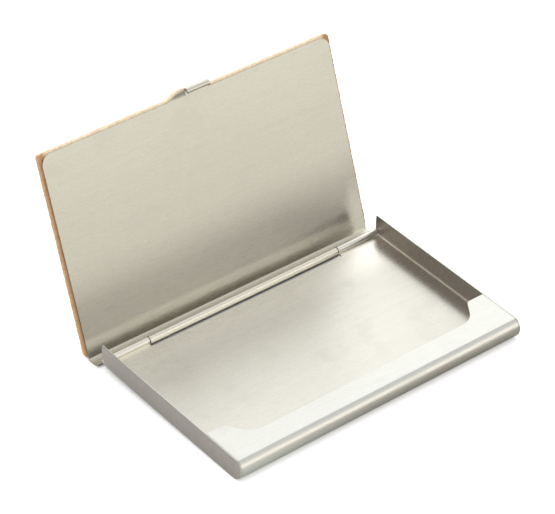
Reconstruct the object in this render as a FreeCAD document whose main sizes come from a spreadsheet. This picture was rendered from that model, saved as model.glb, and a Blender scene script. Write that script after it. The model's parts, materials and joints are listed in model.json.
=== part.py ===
import FreeCAD, Part
import math
import os

import Sketcher

# A metal business card case with a leather-covered lid, standing open.
# Origin: on the tray's underside, half way from the front lip to the spine of the closed lid.
# +X along the hinge, +Y from the front lip to the hinge, +Z up. Millimetres and degrees.
#
# The tray and the lid are each one folded sheet. A fold is drawn as the open outline of the
# sheet's outer face, given its gauge towards the inside, and drawn out across the case.
# The lid, the leather and the film between them are drawn closed, about the hinge pin's centre,
# and swing open together.

DIMENSIONS = {
    # the whole case
    "case_width": 93.0,
    "case_depth": 59.0,
    "sheet_gauge": 0.4,
    # tray: front fold and lip
    "tray_height": 6.3,
    "front_radius": 3.36,
    "crease_radius": 0.9,
    "end_seam": 0.08,
    "lip_depth": 8.1,
    "lip_half": 33.1,
    "lip_fillet": 6.0,
    "wing_depth": 14.5,
    "wing_start": 41.4,
    "wing_fillet": 1.6,
    # tray: side walls
    "wall_length": 57.7,
    "wall_top_radius": 0.35,
    "wall_heel_radius": 2.7,
    "bend_radius": 0.3,
    # hinge
    "pin_setback": 1.7,
    "barrel_radius": 1.0,
    "pin_clearance": 0.05,
    "pin_recess": 0.9,
    "knuckle_split": 31.8,
    "knuckle_gap": 0.15,
    "floor_gap": 2.1,
    "tray_curl": 305.0,
    "lid_curl": 250.0,
    # lid
    "lid_width": 93.8,
    "lid_gap": 0.4,
    "lid_setback": 1.3,
    "lid_corner": 3.0,
    "spine_radius": 5.2,
    "spine_bend": 0.9,
    "spine_level": 2.9,
    "skirt_foot": 2.0,
    "fold_overlap": 1.0,
    "open_angle": 110.6,
    # thumb catch on the lid's free edge
    "catch_left": 7.4,
    "shoulder_span": 5.2,
    "shoulder_rise": 1.7,
    "shoulder_radius": 3.0,
    "shoulder_sweep": 45.0,
    "hook_slit": 0.15,
    "hook_left": 1.0,
    "hook_length": 7.4,
    "hook_reach": 1.25,
    "hook_radius": 0.9,
    "hook_sweep": 215.0,
    # leather cover and the film that holds it
    "cover_thickness": 1.3,
    "cover_side": 0.65,
    "cover_front": 0.6,
    "cover_rise": 1.3,
    "cover_corner": 1.2,
    "cover_heel": 2.0,
    "cover_rear": 0.6,
    "film_thickness": 0.1,
    "film_margin": 0.8,
}

START, END, CENTRE = 1, 2, 3
ORIGIN = (-1, START)
X_AXIS, Y_AXIS = -1, -2
UP = FreeCAD.Vector(0, 0, 1)
ACROSS = FreeCAD.Rotation(FreeCAD.Vector(1, 1, 1), 120)  # a sketch's x, y become +Y, +Z

doc = FreeCAD.newDocument("business_card_case")
dims = doc.addObject("Spreadsheet::Sheet", "Dims")


# ---------------------------------------------------------------- helpers

def fill_sheet():
    for row, (name, value) in enumerate(DIMENSIONS.items(), 1):
        dims.set(f"A{row}", name)
        dims.set(f"B{row}", str(value))
        dims.setAlias(f"B{row}", name)
    doc.recompute()


def bind(thing, **formulas):
    """Ties properties to formulas of the sheet's cells: Radius="Dims.barrel_radius"."""
    for name, formula in formulas.items():
        thing.setExpression(name.replace("_", "."), formula)


def new_sketch(name, rotation=FreeCAD.Rotation()):
    sketch = doc.addObject("Sketcher::SketchObject", name)
    sketch.Placement = FreeCAD.Placement(FreeCAD.Vector(), rotation)
    return sketch


def line(sketch, x1, y1, x2, y2):
    return sketch.addGeometry(Part.LineSegment(FreeCAD.Vector(x1, y1, 0), FreeCAD.Vector(x2, y2, 0)))


def arc(sketch, x, y, radius, start, sweep):
    """An arc about (x, y) from the angle start, turning anticlockwise through sweep degrees."""
    circle = Part.Circle(FreeCAD.Vector(x, y, 0), UP, radius)
    first = math.radians(start)
    return sketch.addGeometry(Part.ArcOfCircle(circle, first, first + math.radians(sweep)))


def rule(sketch, kind, *items):
    return sketch.addConstraint(Sketcher.Constraint(kind, *items))


def flow(sketch, *joints):
    """Joins pairs of ends smoothly: each joint is (piece, its end, next piece, its end)."""
    for joint in joints:
        rule(sketch, "Tangent", *joint)


def drive(sketch, name, kind, items, now, formula):
    """Adds a dimension whose value follows a formula of the sheet's cells."""
    index = rule(sketch, kind, *items, now)
    sketch.renameConstraint(index, name)
    sketch.setExpression("Constraints." + name, formula)


def corners(sketch, *lines):
    """Joins each line's end to the next line's start."""
    for first, second in zip(lines, lines[1:]):
        rule(sketch, "Coincident", first, END, second, START)


def level(sketch, *lines):
    for piece in lines:
        rule(sketch, "Horizontal", piece)


def upright(sketch, *lines):
    for piece in lines:
        rule(sketch, "Vertical", piece)


def strip_of(name, sketch):
    """Gives an open outline of the sheet's outer face, drawn anticlockwise, its gauge."""
    strip = doc.addObject("Part::Offset2D", name + "_strip")
    strip.Source = sketch
    strip.Mode = "Skin"
    strip.Fill = True
    bind(strip, Value="-Dims.sheet_gauge")
    return strip


def drawn_out(name, profile, length, symmetric=False):
    solid = doc.addObject("Part::Extrusion", name)
    solid.Base = profile
    solid.DirMode = "Normal"
    solid.Solid = True
    solid.Symmetric = symmetric
    bind(solid, LengthFwd=length)
    return solid


def mirrored(name, source):
    copy = doc.addObject("Part::Mirroring", name)
    copy.Source = source
    copy.Normal = FreeCAD.Vector(1, 0, 0)
    return copy


def joined(name, *pieces):
    whole = doc.addObject("Part::MultiFuse", name)
    whole.Shapes = list(pieces)
    whole.Refine = True
    return whole


def at_hinge(node):
    """Puts a node drawn about the pin's centre at the hinge, swung back by the open angle."""
    node.Placement = FreeCAD.Placement(
        FreeCAD.Vector(), FreeCAD.Rotation(FreeCAD.Vector(-1, 0, 0), dims.open_angle))
    bind(node, Placement_Base_y="Dims.case_depth / 2 - Dims.pin_setback",
         Placement_Base_z="Dims.barrel_radius", Placement_Rotation_Angle="Dims.open_angle")
    return node


# ---------------------------------------------------------------- tray

def front_outline(sketch, first):
    """Draws the crease and the front curve, tangent to the top line and to the underside.

    The crease turns the lip down by `turn`; the front curve takes the sheet round and under.
    Returns the two arcs and the point where the curve meets the underside.
    """
    tray_height, big, small = dims.tray_height, dims.front_radius, dims.crease_radius
    middle = big - dims.case_depth / 2
    turn = math.degrees(math.acos((tray_height - small - big) / (big - small)))
    shift = (big - small) * math.sin(math.radians(turn))
    crease = arc(sketch, middle - shift, tray_height - small, small, 90, turn)
    curve = arc(sketch, middle, big, big, 90 + turn, 90 + 90 - turn)
    flow(sketch, (first, END, crease, START), (crease, END, curve, START))
    drive(sketch, "crease", "Radius", (crease,), small, "Dims.crease_radius")
    drive(sketch, "front", "Radius", (curve,), big, "Dims.front_radius")
    drive(sketch, "front_place", "DistanceX", (curve, CENTRE, *ORIGIN), -middle,
          "Dims.case_depth / 2 - Dims.front_radius")
    return curve, middle


def tray_fold():
    """Lip, front curve and floor, in one piece between the side walls."""
    sketch = new_sketch("tray_outline", ACROSS)
    lip_end = dims.wing_depth + dims.fold_overlap - dims.case_depth / 2
    floor_end = dims.case_depth / 2 - dims.pin_setback - dims.floor_gap
    lip = line(sketch, lip_end, dims.tray_height, -dims.case_depth / 2, dims.tray_height)
    curve, middle = front_outline(sketch, lip)
    floor = line(sketch, middle, 0, floor_end, 0)
    level(sketch, lip, floor)
    rule(sketch, "PointOnObject", floor, END, X_AXIS)
    flow(sketch, (curve, END, floor, START))
    drive(sketch, "lip_height", "DistanceY", (*ORIGIN, lip, START), dims.tray_height,
          "Dims.tray_height")
    drive(sketch, "lip_end", "DistanceX", (lip, START, *ORIGIN), -lip_end,
          "Dims.case_depth / 2 - Dims.wing_depth - Dims.fold_overlap")
    drive(sketch, "floor_end", "DistanceX", (*ORIGIN, floor, END), floor_end,
          "Dims.case_depth / 2 - Dims.pin_setback - Dims.floor_gap")
    return drawn_out("tray_fold", strip_of("tray_fold", sketch),
                     "Dims.case_width - 2 * (Dims.sheet_gauge + Dims.end_seam)", symmetric=True)


def half_opening():
    """Right half of the cut behind the lip: it runs out round the wing to the side wall."""
    sketch = new_sketch("opening_outline")
    wing_y = dims.wing_depth - dims.case_depth / 2
    lip_y = dims.lip_depth - dims.case_depth / 2
    foot_radius, wing_radius = dims.lip_fillet, dims.wing_fillet
    across = dims.wing_start - dims.lip_half
    down = foot_radius + wing_radius - (wing_y - lip_y)
    tilt = math.asin((foot_radius + wing_radius) / math.hypot(across, down)) - math.atan2(down, across)
    lean_x, lean_y, slope = math.sin(tilt), math.cos(tilt), math.degrees(tilt)
    edge, rear = dims.case_width / 2, wing_y + 2 * dims.fold_overlap
    front = line(sketch, 0, lip_y, dims.lip_half, lip_y)
    foot = arc(sketch, dims.lip_half, lip_y + foot_radius, foot_radius, 270, slope)
    ramp = line(sketch, dims.lip_half + foot_radius * lean_x, lip_y + foot_radius * (1 - lean_y),
                dims.wing_start - wing_radius * lean_x, wing_y - wing_radius * (1 - lean_y))
    shoulder = arc(sketch, dims.wing_start, wing_y - wing_radius, wing_radius, 90, slope)
    wing = line(sketch, dims.wing_start, wing_y, edge, wing_y)
    side = line(sketch, edge, wing_y, edge, rear)
    back = line(sketch, edge, rear, 0, rear)
    middle = line(sketch, 0, rear, 0, lip_y)
    flow(sketch, (front, END, foot, START), (foot, END, ramp, START), (ramp, END, shoulder, END),
         (shoulder, START, wing, START))
    corners(sketch, wing, side, back, middle, front)
    level(sketch, front, wing, back)
    upright(sketch, side)
    rule(sketch, "PointOnObject", middle, START, Y_AXIS)
    rule(sketch, "PointOnObject", middle, END, Y_AXIS)
    drive(sketch, "foot_radius", "Radius", (foot,), foot_radius, "Dims.lip_fillet")
    drive(sketch, "wing_radius", "Radius", (shoulder,), wing_radius, "Dims.wing_fillet")
    drive(sketch, "lip_edge", "DistanceY", (middle, END, *ORIGIN), -lip_y,
          "Dims.case_depth / 2 - Dims.lip_depth")
    drive(sketch, "wing_edge", "DistanceY", (wing, START, *ORIGIN), -wing_y,
          "Dims.case_depth / 2 - Dims.wing_depth")
    drive(sketch, "lip_half", "DistanceX", (front, START, front, END), dims.lip_half,
          "Dims.lip_half")
    drive(sketch, "wing_start", "DistanceX", (*ORIGIN, wing, START), dims.wing_start,
          "Dims.wing_start")
    drive(sketch, "opening_edge", "DistanceX", (*ORIGIN, wing, END), edge, "Dims.case_width / 2")
    drive(sketch, "opening_rear", "DistanceY", (side, START, side, END), rear - wing_y,
          "2 * Dims.fold_overlap")
    bind(sketch, Placement_Base_z="Dims.tray_height - Dims.crease_radius")
    return drawn_out("half_opening", sketch, "2 * Dims.crease_radius")


def side_wall():
    """Right side wall: it follows the front curve, and its heel is rounded behind the floor."""
    sketch = new_sketch("wall_outline", ACROSS)
    rear = dims.wall_length - dims.case_depth / 2
    height, heel_radius, top_radius = dims.tray_height, dims.wall_heel_radius, dims.wall_top_radius
    top = line(sketch, rear - top_radius, height, -dims.case_depth / 2, height)
    curve, middle = front_outline(sketch, top)
    bottom = line(sketch, middle, 0, rear - heel_radius, 0)
    heel = arc(sketch, rear - heel_radius, heel_radius, heel_radius, 270, 90)
    back = line(sketch, rear, heel_radius, rear, height - top_radius)
    peak = arc(sketch, rear - top_radius, height - top_radius, top_radius, 0, 90)
    flow(sketch, (curve, END, bottom, START), (bottom, END, heel, START), (heel, END, back, START),
         (back, END, peak, START), (peak, END, top, START))
    level(sketch, top, bottom)
    upright(sketch, back)
    rule(sketch, "PointOnObject", bottom, END, X_AXIS)
    drive(sketch, "height", "DistanceY", (*ORIGIN, top, START), height, "Dims.tray_height")
    drive(sketch, "heel", "Radius", (heel,), heel_radius, "Dims.wall_heel_radius")
    drive(sketch, "peak", "Radius", (peak,), top_radius, "Dims.wall_top_radius")
    drive(sketch, "rear", "DistanceX", (*ORIGIN, back, START), rear,
          "Dims.wall_length - Dims.case_depth / 2")
    bind(sketch, Placement_Base_x="Dims.case_width / 2 - Dims.sheet_gauge")
    return drawn_out("side_wall", sketch, "Dims.sheet_gauge")


def tray_knuckle():
    """Right end of the tray's hinge: the floor runs back and curls up round the pin."""
    sketch = new_sketch("knuckle_outline", ACROSS)
    pin_y = dims.case_depth / 2 - dims.pin_setback
    radius = dims.barrel_radius
    lead = dims.floor_gap + dims.fold_overlap
    floor = line(sketch, pin_y - lead, 0, pin_y, 0)
    curl = arc(sketch, pin_y, radius, radius, 270, dims.tray_curl)
    flow(sketch, (floor, END, curl, START))
    rule(sketch, "PointOnObject", floor, START, X_AXIS)
    level(sketch, floor)
    drive(sketch, "barrel", "Radius", (curl,), radius, "Dims.barrel_radius")
    drive(sketch, "lead", "DistanceX", (floor, START, floor, END), lead,
          "Dims.floor_gap + Dims.fold_overlap")
    drive(sketch, "pin", "DistanceX", (*ORIGIN, floor, END), pin_y,
          "Dims.case_depth / 2 - Dims.pin_setback")
    drive(sketch, "curl", "Angle", (curl,), math.radians(dims.tray_curl), "Dims.tray_curl")
    bind(sketch, Placement_Base_x="Dims.knuckle_split + Dims.knuckle_gap")
    length = ("Dims.case_width / 2 - Dims.sheet_gauge - Dims.end_seam"
              " - Dims.knuckle_split - Dims.knuckle_gap")
    return drawn_out("tray_knuckle", strip_of("tray_knuckle", sketch), length)


def tray_floor():
    """Full-width floor between the side walls' bends."""
    floor = doc.addObject("Part::Box", "tray_floor")
    bind(floor, Length="Dims.case_width", Height="Dims.sheet_gauge",
         Width="Dims.wall_length - Dims.wall_heel_radius - Dims.front_radius",
         Placement_Base_x="-Dims.case_width / 2",
         Placement_Base_y="Dims.front_radius - Dims.case_depth / 2")
    return floor


def make_tray():
    opening = half_opening()
    cut = doc.addObject("Part::Cut", "front_fold")
    cut.Base = tray_fold()
    cut.Tool = joined("lip_cut", opening, mirrored("left_half_opening", opening))
    wall, knuckle = side_wall(), tray_knuckle()
    shell = joined("tray_shell", cut, tray_floor(), wall, mirrored("left_side_wall", wall),
                   knuckle, mirrored("left_tray_knuckle", knuckle))
    return rounded_bends("tray", shell)


def rounded_bends(name, shell):
    """Rounds the long bends between the floor and the side walls."""
    doc.recompute()
    bends = [(number, dims.bend_radius, dims.bend_radius)
             for number, edge in enumerate(shell.Shape.Edges, 1) if is_side_bend(edge)]
    tray = doc.addObject("Part::Fillet", name)
    tray.Base = shell
    tray.Edges = bends
    return tray


def is_side_bend(edge):
    box = edge.BoundBox
    flat = box.ZMax < dims.bend_radius and box.XLength < dims.bend_radius
    outside = max(abs(box.XMin), abs(box.XMax)) > dims.case_width / 2 - dims.bend_radius / 2
    return flat and outside and box.YLength > dims.case_depth / 2


# ---------------------------------------------------------------- lid, drawn closed

def lid_edge():
    """Distance from the pin forward to the lid's free edge."""
    return dims.case_depth - dims.pin_setback - dims.lid_setback


def lid_top():
    """Height of the closed lid's outer face over the pin's centre."""
    return dims.tray_height + dims.lid_gap + dims.sheet_gauge - dims.barrel_radius


def spine_start():
    """Distance from the pin back to the end of the lid's flat, where the spine's bend begins."""
    arch, bend = dims.spine_radius, dims.spine_bend
    rise = lid_top() - bend - dims.spine_level
    return dims.pin_setback - arch + math.sqrt((arch - bend) ** 2 - rise ** 2)


LID_EDGE = "Dims.case_depth - Dims.pin_setback - Dims.lid_setback"
LID_TOP = "Dims.tray_height + Dims.lid_gap + Dims.sheet_gauge - Dims.barrel_radius"
LID_INSIDE = "Dims.tray_height + Dims.lid_gap - Dims.barrel_radius"
SPINE_START = ("Dims.pin_setback - Dims.spine_radius + sqrt(pow(Dims.spine_radius - Dims.spine_bend; 2)"
               f" - pow({LID_TOP} - Dims.spine_bend - Dims.spine_level; 2))")
LID_KNUCKLE = "2 * (Dims.knuckle_split - Dims.knuckle_gap)"


def lid_plate():
    """Flat of the lid, with its two free corners rounded."""
    sketch = new_sketch("plate_outline")
    half, radius = dims.lid_width / 2, dims.lid_corner
    front, rear = -lid_edge(), spine_start()
    edge = line(sketch, radius - half, front, half - radius, front)
    right_corner = arc(sketch, half - radius, front + radius, radius, 270, 90)
    right = line(sketch, half, front + radius, half, rear)
    back = line(sketch, half, rear, -half, rear)
    left = line(sketch, -half, rear, -half, front + radius)
    left_corner = arc(sketch, radius - half, front + radius, radius, 180, 90)
    flow(sketch, (edge, END, right_corner, START), (right_corner, END, right, START),
         (left, END, left_corner, START), (left_corner, END, edge, START))
    corners(sketch, right, back, left)
    level(sketch, edge, back)
    upright(sketch, right, left)
    rule(sketch, "Equal", right_corner, left_corner)
    drive(sketch, "corner", "Radius", (right_corner,), radius, "Dims.lid_corner")
    drive(sketch, "right_edge", "DistanceX", (*ORIGIN, back, START), half, "Dims.lid_width / 2")
    drive(sketch, "left_edge", "DistanceX", (back, END, *ORIGIN), half, "Dims.lid_width / 2")
    drive(sketch, "front_edge", "DistanceY", (edge, START, *ORIGIN), -front, LID_EDGE)
    drive(sketch, "rear_edge", "DistanceY", (*ORIGIN, back, START), rear, SPINE_START)
    bind(sketch, Placement_Base_z=LID_INSIDE)
    return drawn_out("lid_plate", sketch, "Dims.sheet_gauge")


def lid_spine():
    """The lid's rear edge bent down behind the hinge: an arched back that ends in a skirt."""
    sketch = new_sketch("spine_outline", ACROSS)
    top, rear, start = lid_top(), dims.pin_setback, spine_start()
    arch, bend_radius, widest = dims.spine_radius, dims.spine_bend, dims.spine_level
    lean = math.degrees(math.asin((top - bend_radius - widest) / (arch - bend_radius)))
    skirt = line(sketch, rear, dims.skirt_foot, rear, widest)
    back = arc(sketch, rear - arch, widest, arch, 0, lean)
    bend = arc(sketch, start, top - bend_radius, bend_radius, lean, 90 - lean)
    flat = line(sketch, start, top, start - dims.fold_overlap, top)
    flow(sketch, (skirt, END, back, START), (back, END, bend, START), (bend, END, flat, START))
    level(sketch, flat)
    upright(sketch, skirt)
    drive(sketch, "arch", "Radius", (back,), arch, "Dims.spine_radius")
    drive(sketch, "bend", "Radius", (bend,), bend_radius, "Dims.spine_bend")
    drive(sketch, "top", "DistanceY", (*ORIGIN, flat, START), top, LID_TOP)
    drive(sketch, "lead", "DistanceX", (flat, END, flat, START), dims.fold_overlap,
          "Dims.fold_overlap")
    drive(sketch, "rear", "DistanceX", (*ORIGIN, skirt, START), rear, "Dims.pin_setback")
    drive(sketch, "foot", "DistanceY", (*ORIGIN, skirt, START), dims.skirt_foot, "Dims.skirt_foot")
    drive(sketch, "widest", "DistanceY", (*ORIGIN, back, CENTRE), widest, "Dims.spine_level")
    return drawn_out("lid_spine", strip_of("lid_spine", sketch), "Dims.lid_width", symmetric=True)


def lid_knuckle():
    """Long middle barrel, curled round the pin, with the run that leads back to the heel."""
    sketch = new_sketch("lid_knuckle_outline", ACROSS)
    radius, lead = dims.barrel_radius, dims.pin_setback - dims.barrel_radius
    curl = arc(sketch, 0, 0, radius, 270 - dims.lid_curl, dims.lid_curl)
    run = line(sketch, 0, -radius, lead, -radius)
    flow(sketch, (curl, END, run, START))
    level(sketch, run)
    rule(sketch, "Coincident", curl, CENTRE, *ORIGIN)
    drive(sketch, "barrel", "Radius", (curl,), radius, "Dims.barrel_radius")
    drive(sketch, "lead", "DistanceX", (*ORIGIN, run, END), lead,
          "Dims.pin_setback - Dims.barrel_radius")
    drive(sketch, "curl", "Angle", (curl,), math.radians(dims.lid_curl), "Dims.lid_curl")
    return drawn_out("lid_knuckle", strip_of("lid_knuckle", sketch), LID_KNUCKLE, symmetric=True)


def lid_heel():
    """The skirt's foot, turned forward under the hinge to meet the middle barrel."""
    sketch = new_sketch("lid_heel_outline", ACROSS)
    rear, radius = dims.pin_setback, dims.barrel_radius
    height = dims.skirt_foot + dims.fold_overlap / 2
    bend = arc(sketch, rear - radius, 0, radius, 270, 90)
    rise = line(sketch, rear, 0, rear, height)
    flow(sketch, (bend, END, rise, START))
    upright(sketch, rise)
    rule(sketch, "PointOnObject", bend, CENTRE, X_AXIS)
    rule(sketch, "Vertical", bend, CENTRE, bend, START)
    drive(sketch, "heel", "Radius", (bend,), radius, "Dims.barrel_radius")
    drive(sketch, "rear", "DistanceX", (*ORIGIN, rise, END), rear, "Dims.pin_setback")
    drive(sketch, "lead", "DistanceY", (rise, START, rise, END), height,
          "Dims.skirt_foot + Dims.fold_overlap / 2")
    return drawn_out("lid_heel", strip_of("lid_heel", sketch), LID_KNUCKLE, symmetric=True)


def turned_edge(name, reach, radius, sweep, start, length):
    """A piece of the lid's free edge run forward by `reach` and turned down through `sweep`.

    reach, radius, sweep, start and length name cells or hold formulas of the sheet.
    """
    sketch = new_sketch(name + "_outline", ACROSS)
    top, root = lid_top(), -lid_edge()
    run = dims.get(reach) if reach else 0.0
    bend_radius, bend_sweep = dims.get(radius), dims.get(sweep)
    flat = line(sketch, root + dims.fold_overlap, top, root - run, top)
    bend = arc(sketch, root - run, top - bend_radius, bend_radius, 90, bend_sweep)
    flow(sketch, (flat, END, bend, START))
    level(sketch, flat)
    drive(sketch, "top", "DistanceY", (*ORIGIN, flat, START), top, LID_TOP)
    drive(sketch, "lead", "DistanceX", (flat, START, *ORIGIN), -root - dims.fold_overlap,
          LID_EDGE + " - Dims.fold_overlap")
    drive(sketch, "reach", "DistanceX", (flat, END, *ORIGIN), run - root,
          LID_EDGE + (f" + Dims.{reach}" if reach else ""))
    drive(sketch, "turn", "Radius", (bend,), bend_radius, f"Dims.{radius}")
    drive(sketch, "sweep", "Angle", (bend,), math.radians(bend_sweep), f"Dims.{sweep}")
    bind(sketch, Placement_Base_x=start)
    return drawn_out(name, strip_of(name, sketch), length)


def s_curve(sketch, root, height):
    """Two equal arcs that lead smoothly from the edge out to the catch's full reach.

    height names the cell that says how far out that is.
    """
    span, rise = dims.shoulder_span, dims.get(height)
    radius = (span ** 2 + rise ** 2) / (4 * rise)
    turn = math.degrees(math.asin(span / 2 / radius))
    first = arc(sketch, -dims.catch_left, root - radius, radius, 90 - turn, turn)
    second = arc(sketch, span - dims.catch_left, root - rise + radius, radius, 270 - turn, turn)
    rule(sketch, "Tangent", first, START, second, START)
    rule(sketch, "Equal", first, second)
    rule(sketch, "Vertical", first, CENTRE, first, END)
    rule(sketch, "Vertical", second, CENTRE, second, END)
    drive(sketch, "curve_start", "DistanceX", (first, END, *ORIGIN), dims.catch_left,
          "Dims.catch_left")
    drive(sketch, "span", "DistanceX", (first, END, second, END), span, "Dims.shoulder_span")
    drive(sketch, "rise", "DistanceY", (second, END, first, END), rise, f"Dims.{height}")
    return first, second


def shoulder_plan():
    """Plan of the catch's left shoulder, which rises to the hook in an S."""
    sketch = new_sketch("shoulder_plan_outline")
    root, slit = -lid_edge(), -dims.hook_left - dims.hook_slit
    inner = root + dims.fold_overlap
    front = root - dims.shoulder_rise
    first, second = s_curve(sketch, root, "shoulder_rise")
    crest = line(sketch, dims.shoulder_span - dims.catch_left, front, slit, front)
    right = line(sketch, slit, front, slit, inner)
    back = line(sketch, slit, inner, -dims.catch_left, inner)
    left = line(sketch, -dims.catch_left, inner, -dims.catch_left, root)
    rule(sketch, "Coincident", second, END, crest, START)
    corners(sketch, crest, right, back, left)
    rule(sketch, "Coincident", left, END, first, END)
    level(sketch, crest, back)
    upright(sketch, right, left)
    drive(sketch, "root", "DistanceY", (first, END, *ORIGIN), -root, LID_EDGE)
    drive(sketch, "slit", "DistanceX", (right, START, *ORIGIN), -slit,
          "Dims.hook_left + Dims.hook_slit")
    drive(sketch, "lead", "DistanceY", (left, END, left, START), dims.fold_overlap,
          "Dims.fold_overlap")
    bind(sketch, Placement_Base_z=LID_TOP + " - 2 * Dims.shoulder_radius")
    return drawn_out("shoulder_plan", sketch, "3 * Dims.shoulder_radius")


def thumb_catch():
    """Shoulder and hook that turn down over the tray's front when the lid is shut."""
    shoulder = doc.addObject("Part::Common", "catch_shoulder")
    shoulder.Base = turned_edge("shoulder_fold", None, "shoulder_radius", "shoulder_sweep",
                                "-Dims.catch_left", "Dims.catch_left")
    shoulder.Tool = shoulder_plan()
    hook = turned_edge("catch_hook", "hook_reach", "hook_radius", "hook_sweep",
                       "-Dims.hook_left", "Dims.hook_length")
    return shoulder, hook


def make_lid():
    return at_hinge(joined("lid", lid_plate(), lid_spine(), lid_heel(), lid_knuckle(),
                           *thumb_catch()))


# ---------------------------------------------------------------- cover, film and pin

def make_cover():
    """Leather sheet on the lid's outside, cut a little larger and following the catch."""
    sketch = new_sketch("cover_outline")
    half = dims.lid_width / 2 + dims.cover_side
    corner, heel, end = dims.cover_corner, dims.cover_heel, dims.cover_rear
    front = -lid_edge() - dims.cover_front
    first, second = s_curve(sketch, front, "cover_rise")
    crest_y = front - dims.cover_rise
    left_front = line(sketch, corner - half, front, -dims.catch_left, front)
    crest = line(sketch, dims.shoulder_span - dims.catch_left, crest_y, -dims.hook_left, crest_y)
    step = line(sketch, -dims.hook_left, crest_y, -dims.hook_left, front)
    right_front = line(sketch, -dims.hook_left, front, half - corner, front)
    front_right = arc(sketch, half - corner, front + corner, corner, 270, 90)
    right = line(sketch, half, front + corner, half, end - heel)
    rear_right = arc(sketch, half - heel, end - heel, heel, 0, 90)
    rear = line(sketch, half - heel, end, heel - half, end)
    rear_left = arc(sketch, heel - half, end - heel, heel, 90, 90)
    left = line(sketch, -half, end - heel, -half, front + corner)
    front_left = arc(sketch, corner - half, front + corner, corner, 180, 90)
    rule(sketch, "Coincident", left_front, END, first, END)
    rule(sketch, "Coincident", second, END, crest, START)
    flow(sketch, (right_front, END, front_right, START), (front_right, END, right, START),
         (right, END, rear_right, START), (rear_right, END, rear, START),
         (rear, END, rear_left, START), (rear_left, END, left, START),
         (left, END, front_left, START), (front_left, END, left_front, START))
    corners(sketch, crest, step, right_front)
    level(sketch, left_front, crest, right_front, rear)
    upright(sketch, step, right, left)
    rule(sketch, "Equal", front_left, front_right)
    rule(sketch, "Equal", rear_left, rear_right)
    rule(sketch, "Horizontal", left_front, END, right_front, START)
    drive(sketch, "corner", "Radius", (front_right,), corner, "Dims.cover_corner")
    drive(sketch, "heel", "Radius", (rear_right,), heel, "Dims.cover_heel")
    drive(sketch, "rear_edge", "DistanceY", (*ORIGIN, rear, START), end, "Dims.cover_rear")
    drive(sketch, "step", "DistanceX", (step, START, *ORIGIN), dims.hook_left, "Dims.hook_left")
    drive(sketch, "right_side", "DistanceX", (*ORIGIN, right, START), half,
          "Dims.lid_width / 2 + Dims.cover_side")
    drive(sketch, "left_side", "DistanceX", (left, START, *ORIGIN), half,
          "Dims.lid_width / 2 + Dims.cover_side")
    drive(sketch, "front", "DistanceY", (left_front, START, *ORIGIN), -front,
          LID_EDGE + " + Dims.cover_front")
    bind(sketch, Placement_Base_z=LID_TOP + " + Dims.film_thickness")
    return at_hinge(drawn_out("lid_cover", sketch, "Dims.cover_thickness"))


def make_film():
    """Thin film of glue between the lid and its cover."""
    sketch = new_sketch("film_outline")
    half = dims.lid_width / 2 - dims.film_margin
    front = dims.film_margin - lid_edge()
    rear = spine_start() - dims.film_margin
    near = line(sketch, -half, front, half, front)
    right = line(sketch, half, front, half, rear)
    far = line(sketch, half, rear, -half, rear)
    left = line(sketch, -half, rear, -half, front)
    corners(sketch, near, right, far, left, near)
    level(sketch, near, far)
    upright(sketch, right, left)
    side = "Dims.lid_width / 2 - Dims.film_margin"
    drive(sketch, "left_side", "DistanceX", (near, START, *ORIGIN), half, side)
    drive(sketch, "right_side", "DistanceX", (*ORIGIN, near, END), half, side)
    drive(sketch, "front", "DistanceY", (near, START, *ORIGIN), -front,
          LID_EDGE + " - Dims.film_margin")
    drive(sketch, "rear", "DistanceY", (far, START, *ORIGIN), -rear,
          "Dims.film_margin - (" + SPINE_START + ")")
    bind(sketch, Placement_Base_z=LID_TOP)
    return at_hinge(drawn_out("cover_film", sketch, "Dims.film_thickness"))


def make_pin():
    """Wire pin through all three barrels, held endways by the side walls."""
    pin = doc.addObject("Part::Cylinder", "hinge_pin")
    pin.Placement.Rotation = FreeCAD.Rotation(FreeCAD.Vector(0, 1, 0), 90)
    half = "(Dims.case_width / 2 - Dims.sheet_gauge - Dims.pin_recess)"
    bind(pin, Radius="Dims.barrel_radius - Dims.sheet_gauge - Dims.pin_clearance",
         Height="2 * " + half, Placement_Base_x="-" + half,
         Placement_Base_y="Dims.case_depth / 2 - Dims.pin_setback",
         Placement_Base_z="Dims.barrel_radius")
    return pin


# ---------------------------------------------------------------- build, check and write

def check(nodes):
    doc.recompute()
    for thing in doc.Objects:
        if {"Invalid", "Error"} & set(thing.State):
            raise RuntimeError(f"{thing.Label} did not build: {thing.State}")
        if thing.isDerivedFrom("Sketcher::SketchObject") and not thing.FullyConstrained:
            raise RuntimeError(f"{thing.Label} is not fully constrained")
    for node in nodes:
        shape = node.Shape
        if shape.isNull() or not shape.isValid() or len(shape.Solids) != 1:
            raise RuntimeError(f"{node.Label} is not one valid solid")


def write(nodes):
    os.makedirs("parts", exist_ok=True)
    for node in nodes:
        node.Shape.Solids[0].exportStep(f"parts/{node.Label}.step")


fill_sheet()
case = [make_tray(), make_pin(), make_lid(), make_film(), make_cover()]
check(case)
write(case)
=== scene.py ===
import json
import math

import bmesh
import bpy
from mathutils import Matrix, Vector, noise


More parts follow.
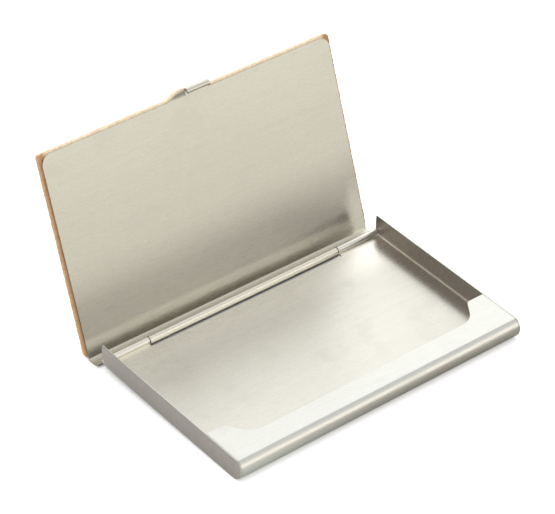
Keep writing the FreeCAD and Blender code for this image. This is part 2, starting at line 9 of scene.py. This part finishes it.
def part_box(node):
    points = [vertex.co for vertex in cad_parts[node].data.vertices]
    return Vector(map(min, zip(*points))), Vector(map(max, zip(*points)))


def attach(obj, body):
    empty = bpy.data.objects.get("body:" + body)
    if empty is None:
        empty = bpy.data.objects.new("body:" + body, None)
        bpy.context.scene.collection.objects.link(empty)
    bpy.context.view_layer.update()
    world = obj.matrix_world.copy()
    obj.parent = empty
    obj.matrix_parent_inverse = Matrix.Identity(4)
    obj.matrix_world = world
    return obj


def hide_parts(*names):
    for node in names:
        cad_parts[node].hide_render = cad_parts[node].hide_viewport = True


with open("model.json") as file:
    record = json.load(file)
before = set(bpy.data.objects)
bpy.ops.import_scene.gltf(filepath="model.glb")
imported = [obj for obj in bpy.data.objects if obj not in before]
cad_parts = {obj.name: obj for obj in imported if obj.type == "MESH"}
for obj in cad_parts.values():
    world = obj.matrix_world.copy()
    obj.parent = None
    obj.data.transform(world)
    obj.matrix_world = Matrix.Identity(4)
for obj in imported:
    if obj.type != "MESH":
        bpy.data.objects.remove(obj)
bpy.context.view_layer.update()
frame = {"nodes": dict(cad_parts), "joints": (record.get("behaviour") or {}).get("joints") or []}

# A metal business card case with a leather-covered lid, standing open on a pale table.
# The tray, lid, pin and glue film keep the frame's shapes. The leather cover is built here, in the
# shut lid's coordinates (origin on the hinge pin, -Y towards the free edge, +Z out of the lid), and
# swung open with the lid. The lengths named below are in millimetres, except that names ending in
# _M are in metres, as the frame is. A span is the pair of lengths between which a tone changes.

MM = 0.001

HINGE = frame["joints"][0]
PIVOT_M = Vector(HINGE["pos_m"])
OPEN_ANGLE = math.radians(HINGE["range_deg"][1])
SWUNG_OPEN = Matrix.Translation(PIVOT_M) @ Matrix.Rotation(-OPEN_ANGLE, 4, "X")
WALL_OUTSIDE_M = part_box("tray")[1].x
COVER_SIDE_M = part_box("lid_cover")[1].x

WHITE = (1.0, 1.0, 1.0, 1.0)

# steel: its colour by place; the lip's whiter colour is painted light and the side walls' darker
# colour is painted shade
STEEL = (0.62, 0.605, 0.545, 1.0)
LIP_STEEL_LIT = (0.615, 0.618, 0.575, 1.0)
LID_STEEL = (0.61, 0.585, 0.505, 1.0)
WALL_STEEL_SHADED = (0.50, 0.44, 0.40, 1.0)
LIP_HEIGHT_SPAN = (5.2, 6.0)
WALL_FACING = 0.7               # a face turned further sideways than this counts as a wall

# steel: brush marks as width and length, other marks by their size, and its finish
HAIR = (0.07, 4.0)
SCRATCH = (0.22, 16.0)
BAND = (2.2, 70.0)
SMEAR_SIZE = 11.0
SPECK_SPACING = 6.0
STEEL_ROUGHNESS = 0.28
EDGE_ROUNDING = 0.06
BRUSHING_DEPTH = 0.004

# steel: tones that multiply its colour, and where they hold; they are painted light and shade
FLOOR_FRONT_TONE = 0.98
FLOOR_REAR_HIGHLIGHT = 1.3
FLOOR_RIGHT_TONE = 0.94
FLOOR_REAR_SPAN = (12.0, 25.0)
FLOOR_RIGHT_SPAN = (10.0, 40.0)
FLOOR_TOP_SPAN = (0.5, 0.9)
# painted shade low on the lid, just above the hinge
LID_SHADE_TONE = 0.66
LID_HINGE_SPAN = (2.0, 4.5)
LID_FADE_SPAN = (4.0, 26.0)
LID_EDGE_SPAN = (40.0, 45.0)
LID_EDGE_TOP_SPAN = (0.0, 24.0)
# painted highlight on the curled hinge barrels
BARREL_HIGHLIGHT_TONE = 1.2
BARREL_RIM_SPAN = (1.05, 1.25)
# painted highlight along the bend at the foot of each wall
WALL_FOOT_HIGHLIGHT = 1.6
WALL_FOOT_OUTER_SPAN = (0.2, 0.35)
WALL_FOOT_INNER_SPAN = (0.65, 0.85)
WALL_FOOT_TOP_SPAN = (0.7, 1.0)

# wire and glue
WIRE = (0.66, 0.64, 0.59, 1.0)
WIRE_STAIN = (0.42, 0.38, 0.33, 1.0)
GLUE = (0.42, 0.27, 0.13, 1.0)
GLUE_DARK = (0.28, 0.16, 0.07, 1.0)

# leather
GRAIN_SIDE = (0.50, 0.27, 0.12, 1.0)
GRAIN_DARK = (0.36, 0.17, 0.07, 1.0)
# the cut edge's pale and tan are partly its fibres and partly painted light: pale where it faces
# up, tan on the sides
CUT_PALE = (0.95, 0.86, 0.66, 1.0)
CUT_TAN = (0.68, 0.43, 0.20, 1.0)
# reddish-brown of the specks, also used for the painted shadow beside the glue
CUT_SPECK_AND_SHADE = (0.36, 0.15, 0.055, 1.0)
PEBBLE_SIZE = 0.75
PORE_SIZE = 0.22
CLOUD_SIZE = 16.0
FIBRE_SIZE = 0.40
CLUMP_SIZE = 0.9
FLANK_SPAN = (0.8, 3.2)
LEATHER_RELIEF = 0.10

# outline of the cover, where the frame's box doesn't give it
CORNER_RADIUS = 1.2
HEEL_RADIUS = 2.0
SHOULDER_LEFT = -7.4
SHOULDER_LENGTH = 5.2
SHOULDER_RISE = 1.3
TAB_RIGHT = -0.3
TAB_ROUNDING = 0.4
OUTLINE_STEP = 0.30

# section of the cover's cut edge
RAGGEDNESS = 0.17
OUTER_ROUNDING = 0.32
INNER_ROUNDING = 0.10
FACE_MARGIN = 0.9

# table, as the eye sees it and as the steel mirrors it
TABLE_PALE = (0.95, 0.95, 0.95, 1.0)
TABLE_PALER = (0.97, 0.97, 0.97, 1.0)
TABLE_LEFT = (0.68, 0.72, 0.715, 1.0)
TABLE_RIGHT = (0.37, 0.36, 0.335, 1.0)
TABLE_SPAN = (-60.0, 20.0)
TABLE_LIFT = 0.25
TABLE_GAP = 0.02
TABLE_REACH_M = 3.0
FRONT_FOLD_RADIUS = 3.36

# studio light; the sky changes between two directions, given by how far they point right
LAMP_DISTANCE_M = 1.3
SKY_LEFT = 0.42
SKY_RIGHT = 0.85
SKY_LEFTWARD = -0.7
SKY_RIGHTWARD = 0.15

# camera, round a point on the table behind the hinge
CAMERA_TARGET = Vector((18.08, 36.15, 0.0))
CAMERA_DISTANCE = 756.4
CAMERA_AZIMUTH = -40.13
CAMERA_ELEVATION = 37.59
CAMERA_ROLL = 2.0
CAMERA_LENS = 181.24


# ---------------------------------------------------------------- node graphs

class Graph:
    """The node tree of a material or a world, with short calls that add nodes and join them."""

    def __init__(self, owner):
        owner.use_nodes = True
        self.owner = owner
        self.tree = owner.node_tree
        self.tree.nodes.clear()

    def feed(self, socket, value):
        """Joins a node or one of its outputs to the socket, or sets the socket to a value."""
        if isinstance(value, bpy.types.Node):
            value = value.outputs[0]
        if isinstance(value, bpy.types.NodeSocket):
            self.tree.links.new(value, socket)
        else:
            socket.default_value = value

    def add(self, kind, inputs=None, **settings):
        node = self.tree.nodes.new("ShaderNode" + kind)
        for name, value in settings.items():
            setattr(node, name, value)
        for socket, value in (inputs or {}).items():
            self.feed(node.inputs[socket], value)
        return node

    def math(self, operation, first, second=0.0):
        return self.add("Math", {0: first, 1: second}, operation=operation).outputs[0]

    def product(self, first, *others):
        """All the values multiplied together."""
        for other in others:
            first = self.math("MULTIPLY", first, other)
        return first

    def vector_math(self, operation, first, second):
        return self.add("VectorMath", {0: first, 1: second}, operation=operation).outputs[0]

    def parts(self, vector):
        """The x, y and z of a vector."""
        return self.add("SeparateXYZ", {0: vector}).outputs

    def stretch(self, vector, *sizes):
        """Coordinates in which one unit is a feature of this size, or of these along x, y, z."""
        along = sizes if len(sizes) == 3 else sizes * 3
        return self.vector_math("MULTIPLY", vector, [1 / (size * MM) for size in along])

    def noise(self, vector, detail=2.0, roughness=0.5):
        return self.add("TexNoise", {"Vector": vector, "Scale": 1.0, "Detail": detail,
                                     "Roughness": roughness}).outputs[0]

    def spread(self, value, low, high, to_low=0.0, to_high=1.0):
        """Maps low..high smoothly on to_low..to_high."""
        return self.add("MapRange", {"Value": value, "From Min": low, "From Max": high,
                                     "To Min": to_low, "To Max": to_high},
                        interpolation_type="SMOOTHSTEP").outputs[0]

    def vary(self, value, low, high):
        """Spreads the middle of a noise's range over low..high."""
        return self.spread(value, 0.3, 0.7, low, high)

    def ramp(self, length, span, before=0.0, after=1.0):
        """Goes smoothly from before to after as a length in metres crosses a span."""
        return self.spread(length, span[0] * MM, span[1] * MM, before, after)

    def level(self, factor, first, second):
        """Mixes two numbers."""
        return self.add("Mix", {0: factor, 2: first, 3: second}).outputs[0]

    def choose(self, factor, first, second):
        """Mixes two vectors."""
        mix = self.add("Mix", data_type="VECTOR")
        for socket, value in zip((0, 4, 5), (factor, first, second)):
            self.feed(mix.inputs[socket], value)
        return mix.outputs[1]

    def blend(self, factor, first, second):
        """Mixes two colours."""
        mix = self.add("Mix", data_type="RGBA")
        for socket, value in zip((0, 6, 7), (factor, first, second)):
            self.feed(mix.inputs[socket], value)
        return mix.outputs[2]

    def surface(self, inputs):
        """Ends a material in a surface with these inputs, and gives the material back."""
        self.add("OutputMaterial", {"Surface": self.add("BsdfPrincipled", inputs)})
        return self.owner


# ---------------------------------------------------------------- steel, wire and glue

def brushing(graph, point, on_wall, width, length):
    """Coordinates for marks this wide and long: across the case, and up the side walls."""
    return graph.choose(on_wall, graph.stretch(point, length, width, width),
                        graph.stretch(point, width, width, length))


def brushed_steel(name, tint, upper_tint, tone_by_place):
    """Satin sheet steel. upper_tint is its colour from the height of the tray's lip up, made whiter
    there as painted light.

    tone_by_place works out a tone of painted light and shade from the graph and the point, 1 where
    the metal is plain.
    """
    graph = Graph(bpy.data.materials.new(name))
    place = graph.add("TexCoord")
    point = place.outputs["Object"]
    sideways = graph.math("ABSOLUTE", graph.parts(place.outputs["Normal"])[0])
    on_wall = graph.math("GREATER_THAN", sideways, WALL_FACING)
    hair = graph.noise(brushing(graph, point, on_wall, *HAIR))
    scratch = graph.noise(brushing(graph, point, on_wall, *SCRATCH), detail=3.0)
    band = graph.noise(brushing(graph, point, on_wall, *BAND))
    smear = graph.noise(graph.stretch(point, SMEAR_SIZE), detail=4.0, roughness=0.6)
    touched = graph.spread(smear, 0.48, 0.80)

    marks = graph.math("ADD", graph.vary(scratch, -0.015, 0.015), graph.vary(band, 0.99, 1.01))
    marks = graph.math("SUBTRACT", marks, graph.product(touched, 0.03))
    # besides the real marks and specks, these tones are painted light and shade
    tone = graph.product(marks, tone_by_place(graph, point), barrel_highlight(graph, point),
                         specks(graph, point))
    metal = graph.blend(graph.ramp(graph.parts(point)[2], LIP_HEIGHT_SPAN), tint, upper_tint)
    # painted shade: the side walls take a darker colour than the floor of the same steel
    metal = graph.blend(on_wall, metal, WALL_STEEL_SHADED)
    rough = graph.math("ADD", graph.vary(hair, STEEL_ROUGHNESS - 0.03, STEEL_ROUGHNESS + 0.03),
                       graph.product(touched, 0.05))
    relief = graph.add("Bump", {
        "Strength": graph.spread(on_wall, 0.0, 1.0, 0.2, 0.03), "Distance": BRUSHING_DEPTH * MM,
        "Height": graph.math("ADD", hair, scratch),
        "Normal": graph.add("Bevel", {"Radius": EDGE_ROUNDING * MM}, samples=4)})
    return graph.surface({
        "Base Color": graph.add("VectorMath", {0: metal, "Scale": tone}, operation="SCALE"),
        "Metallic": 1.0, "Roughness": rough, "Normal": relief, "Anisotropic": 0.75,
        "Anisotropic Rotation": 0.25,
        "Tangent": graph.choose(on_wall, (1.0, 0.0, 0.0), (0.0, 0.0, 1.0))})


def tray_light_tone(graph, point):
    """Painted highlight: the floor is made brighter towards the hinge, and so is the foot of the
    walls; painted shade makes the floor a little darker to the right.
    """
    x, y, z = graph.parts(point)
    floor = graph.product(
        graph.ramp(y, FLOOR_REAR_SPAN, FLOOR_FRONT_TONE, FLOOR_REAR_HIGHLIGHT),
        graph.ramp(x, FLOOR_RIGHT_SPAN, 1.0, FLOOR_RIGHT_TONE))
    tone = graph.level(graph.ramp(z, FLOOR_TOP_SPAN), floor, 1.0)
    return graph.product(tone, wall_foot_highlight(graph, point))


def lid_shade_tone(graph, point):
    """Painted shade: darker just above the hinge, fading out up the lid and by its right edge."""
    x, _, z = graph.parts(point)
    faded = graph.ramp(z, LID_FADE_SPAN)
    hinge = graph.ramp(z, LID_HINGE_SPAN, 1.0, 0.0)
    edge = graph.product(graph.ramp(x, LID_EDGE_SPAN),
                         graph.ramp(z, LID_EDGE_TOP_SPAN, 1.0, 0.0))
    # clean is 1 where no painted shade is laid on the lid
    clean = graph.math("MAXIMUM", graph.math("MAXIMUM", faded, hinge), edge)
    return graph.spread(clean, 0.0, 1.0, LID_SHADE_TONE, 1.0)


def barrel_highlight(graph, point):
    """Painted highlight: above 1 round the hinge pin, where the curled barrels are made brighter.
    """
    from_pin = graph.vector_math("SUBTRACT", point, PIVOT_M)
    radial = graph.vector_math("MULTIPLY", from_pin, (0.0, 1.0, 1.0))
    distance = graph.add("VectorMath", {0: radial}, operation="LENGTH").outputs["Value"]
    return graph.ramp(distance, BARREL_RIM_SPAN, BARREL_HIGHLIGHT_TONE, 1.0)


def wall_foot_highlight(graph, point):
    """Painted highlight: above 1 along the inside of the bend between the tray's floor and each
    side wall.
    """
    x, _, z = graph.parts(point)
    inward = graph.math("SUBTRACT", WALL_OUTSIDE_M, graph.math("ABSOLUTE", x))
    foot = graph.product(graph.ramp(inward, WALL_FOOT_OUTER_SPAN),
                         graph.ramp(inward, WALL_FOOT_INNER_SPAN, 1.0, 0.0),
                         graph.ramp(z, WALL_FOOT_TOP_SPAN, 1.0, 0.0))
    return graph.spread(foot, 0.0, 1.0, 1.0, WALL_FOOT_HIGHLIGHT)


def specks(graph, point):
    """1 on clean metal, and less in a few tiny scattered specks."""
    cells = graph.add("TexVoronoi", {"Vector": graph.stretch(point, SPECK_SPACING), "Scale": 1.0})
    chosen = graph.math("GREATER_THAN", graph.parts(cells.outputs["Color"])[0], 0.8)
    spot = graph.spread(cells.outputs["Distance"], 0.015, 0.05, 0.35, 0.0)
    return graph.math("SUBTRACT", 1.0, graph.product(spot, chosen))


def drawn_wire(name):
    """Bright wire with faint drawing lines along it."""
    graph = Graph(bpy.data.materials.new(name))
    point = graph.add("TexCoord").outputs["Object"]
    line = graph.noise(graph.stretch(point, 8.0, 0.08, 0.08))
    stain = graph.noise(graph.stretch(point, 3.0, 1.0, 1.0), detail=3.0)
    return graph.surface({
        "Base Color": graph.blend(graph.spread(stain, 0.5, 0.75, 0.0, 0.35), WIRE, WIRE_STAIN),
        "Metallic": 1.0, "Roughness": graph.vary(line, 0.16, 0.26),
        "Normal": graph.add("Bump", {"Strength": 0.3, "Distance": 0.01 * MM, "Height": line})})


def dried_glue(name):
    """Uneven amber film."""
    graph = Graph(bpy.data.materials.new(name))
    point = graph.add("TexCoord").outputs["Object"]
    patches = graph.noise(graph.stretch(point, 2.5), detail=4.0)
    return graph.surface({
        "Base Color": graph.blend(graph.spread(patches, 0.35, 0.65), GLUE, GLUE_DARK),
        "Roughness": graph.vary(patches, 0.35, 0.55),
        "Normal": graph.add("Bump", {"Strength": 0.5, "Distance": 0.03 * MM, "Height": patches})})


# ---------------------------------------------------------------- leather

def leather_face(graph, point):
    """Grained side: colour, roughness and relief."""
    pebble = graph.add("TexVoronoi", {"Vector": graph.stretch(point, PEBBLE_SIZE), "Scale": 1.0,
                                      "Randomness": 1.0}, feature="DISTANCE_TO_EDGE")
    raised = graph.spread(pebble.outputs["Distance"], 0.0, 0.16)
    pore = graph.noise(graph.stretch(point, PORE_SIZE), detail=3.0)
    cloud = graph.noise(graph.stretch(point, CLOUD_SIZE), detail=4.0, roughness=0.55)
    # painted shade: the creases between the pebbles are darkened
    crease_shade = graph.product(graph.math("SUBTRACT", 1.0, raised), 0.35)
    dark = graph.math("ADD", graph.vary(cloud, 0.0, 0.55), crease_shade)
    colour = graph.blend(dark, GRAIN_SIDE, GRAIN_DARK)
    rough = graph.spread(graph.math("ADD", raised, pore), 0.3, 1.5, 0.62, 0.42)
    height = graph.math("ADD", raised, graph.product(pore, 0.35))
    return colour, rough, height


def across_fibres_and_shade(graph, point, depth):
    """1 where the leather is cut across its fibres, which is along the two side edges, and on the
    rim of the underside beside them; 0 along the front and rear edges. It is partly painted shade:
    these faces turn away from the light and are painted darker tan than the lit top edge."""
    sideways = graph.math("ABSOLUTE", graph.parts(graph.add("TexCoord").outputs["Normal"])[0])
    under = graph.spread(depth, 0.0, 0.02, 1.0, 0.0)
    inward = graph.math("SUBTRACT", COVER_SIDE_M, graph.math("ABSOLUTE", graph.parts(point)[0]))
    flank = graph.ramp(inward, FLANK_SPAN, 1.0, 0.0)
    return graph.math("MAXIMUM", graph.spread(sideways, 0.3, 0.9), graph.product(under, flank))


def leather_edge(graph, point, depth):
    """Raw cut edge: colour and relief.

    Its fibres are pale to tan with reddish-brown specks. It is darker beside the glue, partly glue
    stain and partly painted shadow, and more tan and more speckled along the side edges, partly
    where they are cut across and partly as painted shade. depth is 0 at the glue.
    """
    # across is partly painted shade on the side edges
    across = across_fibres_and_shade(graph, point, depth)
    fibre = graph.noise(graph.stretch(point, FIBRE_SIZE), detail=3.0, roughness=0.65)
    clump = graph.noise(graph.stretch(point, CLUMP_SIZE), detail=2.0, roughness=0.6)
    tan = graph.math("ADD", graph.spread(clump, 0.36, 0.62, 0.0, 0.35),
                     graph.product(across, 0.65))
    speck = graph.product(graph.spread(fibre, 0.48, 0.55),
                          graph.spread(across, 0.0, 1.0, 0.1, 0.6))
    # darker beside the glue: partly glue stain, partly painted shadow between the leather and the
    # steel
    glue_and_shadow = graph.product(graph.spread(depth, 0.0, 0.30, 1.0, 0.0),
                          graph.spread(across, 0.0, 1.0, 0.2, 0.7))
    colour = graph.blend(tan, CUT_PALE, CUT_TAN)
    colour = graph.blend(graph.math("MAXIMUM", speck, glue_and_shadow), colour, CUT_SPECK_AND_SHADE)
    height = graph.math("ADD", fibre, graph.product(clump, 1.2))
    return colour, height


def natural_leather(name):
    """Grained leather with raw edges. The mesh's depth layer goes from 0 at the glue to 1 at the
    grained side, and its inset layer is how far in from the cut edge a row of points is."""
    graph = Graph(bpy.data.materials.new(name))
    point = graph.add("TexCoord").outputs["Object"]
    depth = graph.add("Attribute", attribute_name="depth").outputs["Fac"]
    inset = graph.add("Attribute", attribute_name="inset").outputs["Fac"]
    face_colour, face_rough, face_height = leather_face(graph, point)
    edge_colour, edge_height = leather_edge(graph, point, depth)
    burnished = graph.spread(inset, 0.0, 1.0, 0.35, 0.0)
    face_colour = graph.blend(burnished, face_colour, GRAIN_DARK)
    on_face = graph.spread(inset, 0.02, 0.16)
    relief = graph.add("Bump", {"Strength": 0.7, "Distance": LEATHER_RELIEF * MM,
                                "Height": graph.level(on_face, edge_height, face_height)})
    return graph.surface({
        "Base Color": graph.blend(on_face, edge_colour, face_colour),
        "Roughness": graph.level(on_face, 0.9, face_rough), "Normal": relief,
        "Specular IOR Level": 0.35, "Sheen Weight": 0.15, "Sheen Roughness": 0.5})


# ---------------------------------------------------------------- leather cover

def shut_box(node):
    """Lowest and highest corner of a node of the lid, in the shut lid's coordinates."""
    to_shut = SWUNG_OPEN.inverted()
    corners = [to_shut @ vertex.co / MM for vertex in frame["nodes"][node].data.vertices]
    return [Vector(map(pick, zip(*corners))) for pick in (min, max)]


def arc_points(x, y, radius, start, sweep, count=12):
    """Points on an arc about (x, y) from the angle start through sweep degrees."""
    angles = [math.radians(start + sweep * i / count) for i in range(count + 1)]
    return [(x + radius * math.cos(a), y + radius * math.sin(a)) for a in angles]


def cover_outline(low, high):
    """The cut edge seen from outside the lid, anticlockwise from the front left corner.

    The front edge steps out in an S curve of two arcs to the tab behind the catch.
    """
    half, rear, front = high.x, high.y, low.y + SHOULDER_RISE
    corner, heel = CORNER_RADIUS, HEEL_RADIUS
    radius = (SHOULDER_LENGTH ** 2 + SHOULDER_RISE ** 2) / (4 * SHOULDER_RISE)
    turn = math.degrees(math.asin(SHOULDER_LENGTH / 2 / radius))
    points = arc_points(corner - half, front + corner, corner, 180, 90)
    points += arc_points(SHOULDER_LEFT, front - radius, radius, 90, -turn)
    points += arc_points(SHOULDER_LEFT + SHOULDER_LENGTH, low.y + radius, radius, 270 - turn, turn)
    points += arc_points(TAB_RIGHT - TAB_ROUNDING, low.y + TAB_ROUNDING, TAB_ROUNDING, 270, 90, 4)
    points += [(TAB_RIGHT, front)]
    points += arc_points(half - corner, front + corner, corner, 270, 90)
    points += arc_points(half - heel, rear - heel, heel, 0, 90)
    points += arc_points(heel - half, rear - heel, heel, 90, 90)
    return points


def evenly_spaced(points, step):
    """The closed outline again, with points a step apart."""
    closed = [Vector(point) for point in points + points[:1]]
    spaced = []
    along = 0.0
    for first, second in zip(closed, closed[1:]):
        length = (second - first).length
        while along < length:
            spaced.append(first.lerp(second, along / length))
            along += step
        along -= length
    return spaced


def outward(points):
    """Unit normals of an anticlockwise outline."""
    normals = []
    for before, after in zip(points[-1:] + points[:-1], points[1:] + points[:1]):
        side = (after - before).normalized()
        normals.append(Vector((side.y, -side.x)))
    return normals


def edge_profile(thickness):
    """Rows over the cut edge, as (height, inset, raggedness), from the glue to the grained side."""
    rows = [(0.0, INNER_ROUNDING, 0.4)]
    wall = thickness - INNER_ROUNDING - OUTER_ROUNDING
    rows += [(INNER_ROUNDING + wall * share, 0.0, 1.0) for share in (0.0, 0.25, 0.5, 0.75, 1.0)]
    for share in (0.33, 0.67, 1.0):
        angle = math.radians(90 * share)
        rows.append((thickness - OUTER_ROUNDING * (1 - math.sin(angle)),
                     OUTER_ROUNDING * (1 - math.cos(angle)), 1.0 - share))
    return rows


def ragged_row(outline, normals, height, inset, raggedness):
    """One row of points round the cut edge, drawn in by the inset and uneven in and out."""
    row = []
    for point, normal in zip(outline, normals):
        spot = Vector((point.x, point.y, height))
        uneven = noise.noise(spot * 1.1) + 0.7 * noise.noise(spot * 2.9)
        offset = raggedness * RAGGEDNESS * uneven - inset
        row.append(Vector((*(point + normal * offset), height)))
    return row


def face_row(outline, low, high, height):
    """The border of a flat face: a rounded oblong within the cut edge, without the tab."""
    border = Vector((1, 1)) * (FACE_MARGIN + CORNER_RADIUS)
    inner_low = Vector((low.x, low.y + SHOULDER_RISE)) + border
    inner_high = Vector((high.x, high.y)) - border
    row = []
    for point in outline:
        core = Vector((min(max(value, least), most)
                       for value, least, most in zip(point, inner_low, inner_high)))
        away = (point - core).normalized() * CORNER_RADIUS
        row.append(Vector((*(core + away), height)))
    return row


def skin(name, rows, layers):
    """A closed mesh through the rows of points, with one value of each layer for every row."""
    mesh = bmesh.new()
    fields = {layer: mesh.verts.layers.float.new(layer) for layer in layers}
    rings = []
    for i, row in enumerate(rows):
        ring = [mesh.verts.new(SWUNG_OPEN @ (spot * MM)) for spot in row]
        for vertex in ring:
            for layer, values in layers.items():
                vertex[fields[layer]] = values[i]
        rings.append(ring)
    for lower, upper in zip(rings, rings[1:]):
        for i in range(len(lower)):
            mesh.faces.new((lower[i - 1], lower[i], upper[i], upper[i - 1]))
    mesh.faces.new(rings[-1])
    mesh.faces.new(reversed(rings[0]))
    piece = new_object(name, mesh)
    piece.data.shade_smooth()
    return piece


def new_object(name, mesh):
    """An object in the scene made from a bmesh, which is used up."""
    data = bpy.data.meshes.new(name)
    mesh.to_mesh(data)
    mesh.free()
    piece = bpy.data.objects.new(name, data)
    bpy.context.scene.collection.objects.link(piece)
    return piece


def make_cover():
    """Leather sheet with a raw, slightly ragged cut edge, swung open with the lid."""
    low, high = shut_box("lid_cover")
    thickness = high.z - low.z
    outline = evenly_spaced(cover_outline(low, high), OUTLINE_STEP)
    normals = outward(outline)
    profile = edge_profile(thickness)
    rows = [face_row(outline, low, high, 0.0)]
    rows += [ragged_row(outline, normals, *row) for row in profile]
    rows += [face_row(outline, low, high, thickness)]
    rows = [[spot + Vector((0, 0, low.z)) for spot in row] for row in rows]
    depths = [0.0] + [height / thickness for height, _, _ in profile] + [1.0]
    insets = [0.0] + [inset if height > INNER_ROUNDING else 0.0 for height, inset, _ in profile]
    insets += [FACE_MARGIN]
    cover = skin("leather_cover", rows, {"depth": depths, "inset": insets})
    cover.data.materials.append(natural_leather("cut_leather"))
    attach(cover, "lid_body")
    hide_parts("lid_cover")


# ---------------------------------------------------------------- looks of the frame's pieces

def finish_node(node, material):
    """Gives one of the frame's pieces its material."""
    slots = frame["nodes"][node].data.materials
    slots.clear()
    slots.append(material)


def finish_frame():
    finish_node("tray", brushed_steel("tray_brushed", STEEL, LIP_STEEL_LIT, tray_light_tone))
    finish_node("lid", brushed_steel("lid_brushed", LID_STEEL, LID_STEEL, lid_shade_tone))
    finish_node("hinge_pin", drawn_wire("pin_drawn"))
    finish_node("cover_film", dried_glue("dried_glue"))


# ---------------------------------------------------------------- table, light and camera

def table_top(name):
    """Nearly white to the eye; in the steel's reflections, grey on the right of the case."""
    graph = Graph(bpy.data.materials.new(name))
    point = graph.add("TexCoord").outputs["Object"]
    seen = graph.add("LightPath").outputs["Is Camera Ray"]
    mottle = graph.noise(graph.stretch(point, 40.0), detail=3.0)
    pale = graph.blend(mottle, TABLE_PALE, TABLE_PALER)
    mirrored = graph.blend(graph.ramp(graph.parts(point)[0], TABLE_SPAN), TABLE_LEFT, TABLE_RIGHT)
    return graph.surface({
        "Base Color": graph.blend(seen, mirrored, pale), "Roughness": 0.9,
        "Specular IOR Level": 0.1, "Emission Color": WHITE,
        "Emission Strength": graph.product(seen, TABLE_LIFT)})


def make_table():
    """A table top that the open case stands on: it touches the front fold and the cover."""
    front_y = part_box("tray")[0].y + FRONT_FOLD_RADIUS * MM
    cover = [vertex.co for vertex in frame["nodes"]["lid_cover"].data.vertices]
    lowest = min(cover, key=lambda corner: corner.z)
    tilt = -math.atan2(-lowest.z, lowest.y - front_y)
    mesh = bmesh.new()
    bmesh.ops.create_grid(mesh, x_segments=8, y_segments=8, size=TABLE_REACH_M)
    table = new_object("table", mesh)
    table.location = (0.0, front_y, -TABLE_GAP * MM)
    table.rotation_euler = (tilt, 0.0, 0.0)
    table.data.materials.append(table_top("table_top"))


def make_sky():
    """Soft white light from all round, weaker from the left."""
    graph = Graph(bpy.data.worlds.new("studio"))
    rightward = graph.parts(graph.add("TexCoord").outputs["Generated"])[0]
    strength = graph.spread(rightward, SKY_LEFTWARD, SKY_RIGHTWARD, SKY_LEFT, SKY_RIGHT)
    background = graph.add("Background", {"Color": WHITE, "Strength": strength})
    graph.add("OutputWorld", {"Surface": background})
    bpy.context.scene.world = graph.owner


def softbox(name, direction, size, radiance, colour=WHITE):
    """A square or oblong lamp, its size in metres, that faces the case from a direction."""
    light = bpy.data.lights.new(name, "AREA")
    light.shape = "RECTANGLE"
    light.size, light.size_y = size
    light.energy = radiance * math.pi * size[0] * size[1]
    light.color = colour[:3]
    lamp = bpy.data.objects.new(name, light)
    bpy.context.scene.collection.objects.link(lamp)
    away = Vector(direction).normalized()
    lamp.location = away * LAMP_DISTANCE_M
    lamp.rotation_mode = "QUATERNION"
    lamp.rotation_quaternion = away.to_track_quat("Z", "Y")
    return lamp


def light_studio():
    """Three softboxes that the steel mirrors, and a fill light that it doesn't."""
    make_sky()
    softbox("back_softbox", (0.51, 0.62, 0.62), (1.1, 1.1), 0.82)
    softbox("front_softbox", (0.55, -0.85, 0.22), (1.2, 0.55), 1.08, (1.0, 0.97, 0.90, 1.0))
    softbox("top_softbox", (-0.15, 0.15, 1.0), (1.3, 1.3), 0.70)
    fill = softbox("fill", (-0.6, -0.3, 0.75), (1.6, 1.6), 1.1)
    fill.visible_glossy = False
    bpy.context.scene.view_settings.view_transform = "Standard"


def make_camera():
    """A long lens that looks down on the case from its front left."""
    azimuth = math.radians(CAMERA_AZIMUTH)
    elevation = math.radians(CAMERA_ELEVATION)
    back = Vector((math.sin(azimuth) * math.cos(elevation),
                   -math.cos(azimuth) * math.cos(elevation), math.sin(elevation)))
    right = (-back).cross(Vector((0, 0, 1))).normalized()
    turned = Matrix((right, back.cross(right), back)).transposed().to_4x4()
    data = bpy.data.cameras.new("camera")
    data.lens = CAMERA_LENS
    camera = bpy.data.objects.new("camera", data)
    bpy.context.scene.collection.objects.link(camera)
    place = Matrix.Translation((CAMERA_TARGET + back * CAMERA_DISTANCE) * MM)
    camera.matrix_world = place @ turned @ Matrix.Rotation(math.radians(CAMERA_ROLL), 4, "Z")
    bpy.context.scene.camera = camera


finish_frame()
make_cover()
make_table()
light_studio()
make_camera()
